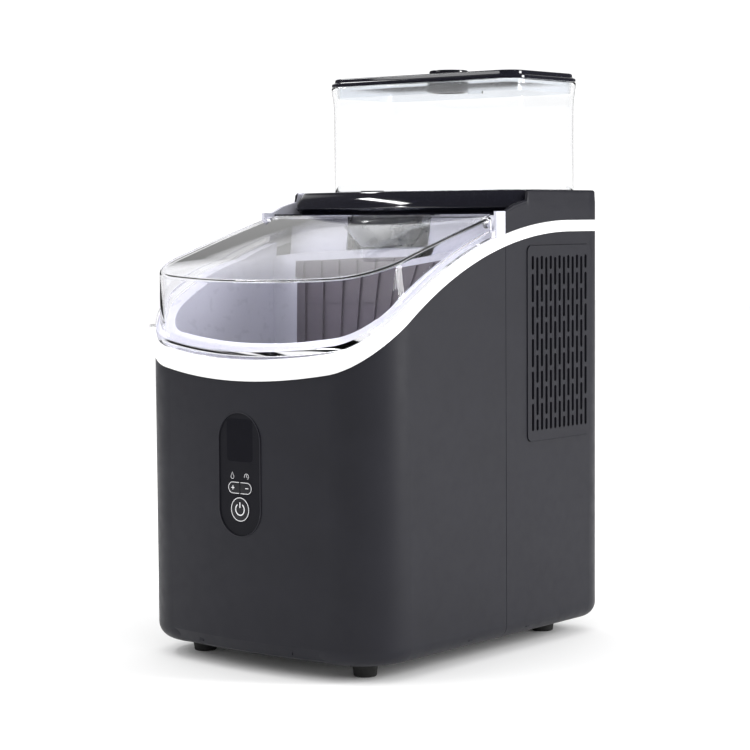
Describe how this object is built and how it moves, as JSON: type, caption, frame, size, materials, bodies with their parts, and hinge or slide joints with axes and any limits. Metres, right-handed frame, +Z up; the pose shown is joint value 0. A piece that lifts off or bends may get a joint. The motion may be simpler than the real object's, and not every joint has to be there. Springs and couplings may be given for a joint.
{
  "type": "ice maker",
  "caption": "Worktop nugget ice maker: sloping casing with a hinged clear bin lid, key panel and side grilles, and a lift-off clear water tank on its deck.",
  "frame": {"origin": "middle of the footprint, on the surface the feet stand on", "axes": "+X to the right seen from the front, +Y to the back, +Z up"},
  "size_m": [0.243, 0.315, 0.4572],
  "materials": {
    "casing": "fine moulded grain",
    "trim": "smooth satin white",
    "gloss_black": "piano black",
    "clear_lid": "clear, slightly smoked",
    "clear_tank": "clear",
    "skirt": "clear grey",
    "liner": "smooth, pale lavender grey",
    "smoked": "smoked dark",
    "frosted": "frosted clear",
    "basket": "clear, slightly frosted",
    "scoop": "clear",
    "rubber": "matt black",
    "base": "black powder coat",
    "screws": "zinc plated",
    "sensor": "gloss black",
    "panel": "satin black",
    "display": "dark window",
    "inlet": "moulded",
    "keys": "satin black with white marks",
    "board": "solder mask and parts",
    "seat": "moulded",
    "hose": "pale silicone",
    "float": "moulded foam",
    "pump": "moulded",
    "steel": "stainless",
    "foam": "closed-cell foam",
    "bronze": "sintered bronze",
    "gear": "moulded acetal",
    "brass_gear": "machined",
    "gearbox": "die cast",
    "compressor": "black enamel",
    "fins": "mill finish",
    "copper": "drawn copper tube"
  },
  "bodies": {
    "root": {"base_tray": "base", "foot_front_left": "rubber", "foot_front_right": "rubber", "foot_rear_left": "rubber", "foot_rear_right": "rubber", "front_shell": "casing", "rear_shell": "casing", "trim_band": "trim", "top_collar": "casing", "deck_base": "gloss_black", "top_deck": "gloss_black", "grille_left": "casing", "grille_right": "casing", "hinge_cheek_left": "liner", "hinge_cheek_right": "liner", "case_screws": "screws", "lid_hinge_pins": "screws", "bin_liner": "liner", "outlet_cover": "smoked", "ice_chute": "frosted", "ice_sensor": "sensor", "ice_basket": "basket", "ice_scoop": "scoop", "control_bezel": "panel", "display_window": "display", "control_board": "board", "valve_seat": "seat", "fill_tube": "hose", "water_reservoir": "liner", "water_pump": "pump", "pump_hose": "hose", "drain_hose": "hose", "evaporator": "steel", "evaporator_jacket": "foam", "auger_bearings": "bronze", "gearbox": "gearbox", "gear_motor": "gearbox", "compressor": "compressor", "compressor_grommets": "rubber", "condenser": "fins", "fan_unit": "pump", "refrigerant_tubes": "copper", "main_board": "board", "power_inlet": "inlet"},
    "lid": {"lid": "clear_lid"},
    "water_tank": {"water_tank": "clear_tank"},
    "tank_lid": {"tank_lid": "gloss_black", "tank_lid_skirt": "skirt"},
    "fill_cap": {"fill_cap": "gloss_black"},
    "tank_valve": {"tank_valve": "rubber", "valve_spring": "screws"},
    "power_button": {"power_button": "keys"},
    "key_plus": {"key_plus": "keys"},
    "key_minus": {"key_minus": "keys"},
    "drain_plug": {"drain_plug": "rubber"},
    "water_float": {"water_float": "float"},
    "fan": {"fan_rotor": "gear"},
    "auger": {"auger": "steel", "auger_gear": "gear"},
    "motor_pinion": {"motor_pinion": "brass_gear"}
  },
  "joints": [
    {"name": "lid_hinge", "type": "hinge", "parent": "root", "child": "lid", "pos_m": [0, 0.008, 0.333], "axis": [-1, 0, 0], "range_deg": [0, 75]},
    {"name": "tank_lift", "type": "slide", "parent": "root", "child": "water_tank", "axis": [0, 0, 1], "range_m": [0, 0.15]},
    {"name": "tank_lid_lift", "type": "slide", "parent": "water_tank", "child": "tank_lid", "axis": [0, 0, 1], "range_m": [0, 0.06]},
    {"name": "fill_cap_lift", "type": "slide", "parent": "tank_lid", "child": "fill_cap", "axis": [0, 0, 1], "range_m": [0, 0.03]},
    {"name": "tank_valve_slide", "type": "slide", "parent": "water_tank", "child": "tank_valve", "axis": [0, 0, 1], "range_m": [0, 0.0025], "stiffness_N_per_m": 300, "deforming": ["valve_spring"]},
    {"name": "power_press", "type": "slide", "parent": "root", "child": "power_button", "axis": [0, 1, 0], "range_m": [0, 0.0008], "stiffness_N_per_m": 600},
    {"name": "plus_press", "type": "slide", "parent": "root", "child": "key_plus", "axis": [0, 1, 0], "range_m": [0, 0.0006], "stiffness_N_per_m": 600},
    {"name": "minus_press", "type": "slide", "parent": "root", "child": "key_minus", "axis": [0, 1, 0], "range_m": [0, 0.0006], "stiffness_N_per_m": 600},
    {"name": "drain_plug_pull", "type": "slide", "parent": "root", "child": "drain_plug", "axis": [0, 1, 0], "range_m": [0, 0.03]},
    {"name": "float_rise", "type": "slide", "parent": "root", "child": "water_float", "axis": [0, 0, 1], "range_m": [0, 0.04]},
    {"name": "fan_spin", "type": "hinge", "parent": "root", "child": "fan", "pos_m": [0.067, 0.0865, 0.238], "axis": [1, 0, 0], "continuous": true},
    {"name": "auger_spin", "type": "hinge", "parent": "root", "child": "auger", "pos_m": [0, 0.06, 0.2], "axis": [0, 0, 1], "continuous": true},
    {"name": "pinion_spin", "type": "hinge", "parent": "root", "child": "motor_pinion", "pos_m": [0.0375, 0.06, 0.154], "axis": [0, 0, 1], "continuous": true}
  ],
  "couplings": [
    {"joint": "pinion_spin", "follows": "auger_spin", "ratio": -4}
  ]
}
